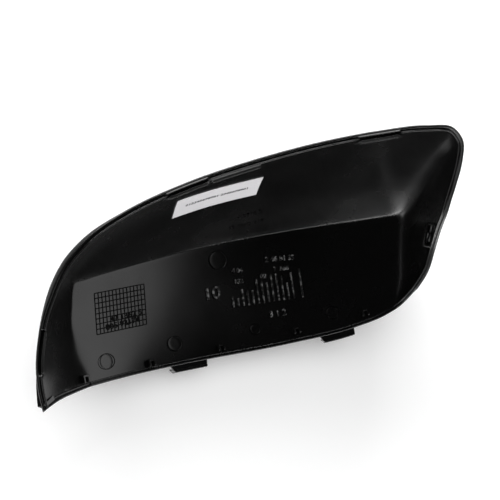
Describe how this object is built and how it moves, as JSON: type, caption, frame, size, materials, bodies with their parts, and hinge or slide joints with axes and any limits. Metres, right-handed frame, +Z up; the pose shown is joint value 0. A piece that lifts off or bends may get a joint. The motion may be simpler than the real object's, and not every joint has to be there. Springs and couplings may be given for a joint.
{
  "type": "wing mirror cover",
  "caption": "Moulded wing mirror cover lying on its convex back: a deep flared shell with a stepped rim, catch tabs, ledges, a comb of ribs and a paper label.",
  "frame": {"origin": "centre of the bounding box in plan, at the ground under the lowest point of the convex back", "axes": "+X along the cover from its pointed outer tip to its inner end, +Y from the lower edge towards the upper wall, +Z up out of the open side"},
  "size_m": [0.214, 0.093, 0.0883],
  "materials": {
    "shell": "black moulded plastic, polished outside and satin inside",
    "label": "matt white paper"
  },
  "bodies": {
    "root": {"cover_shell": "shell", "label": "label"}
  },
  "joints": []
}
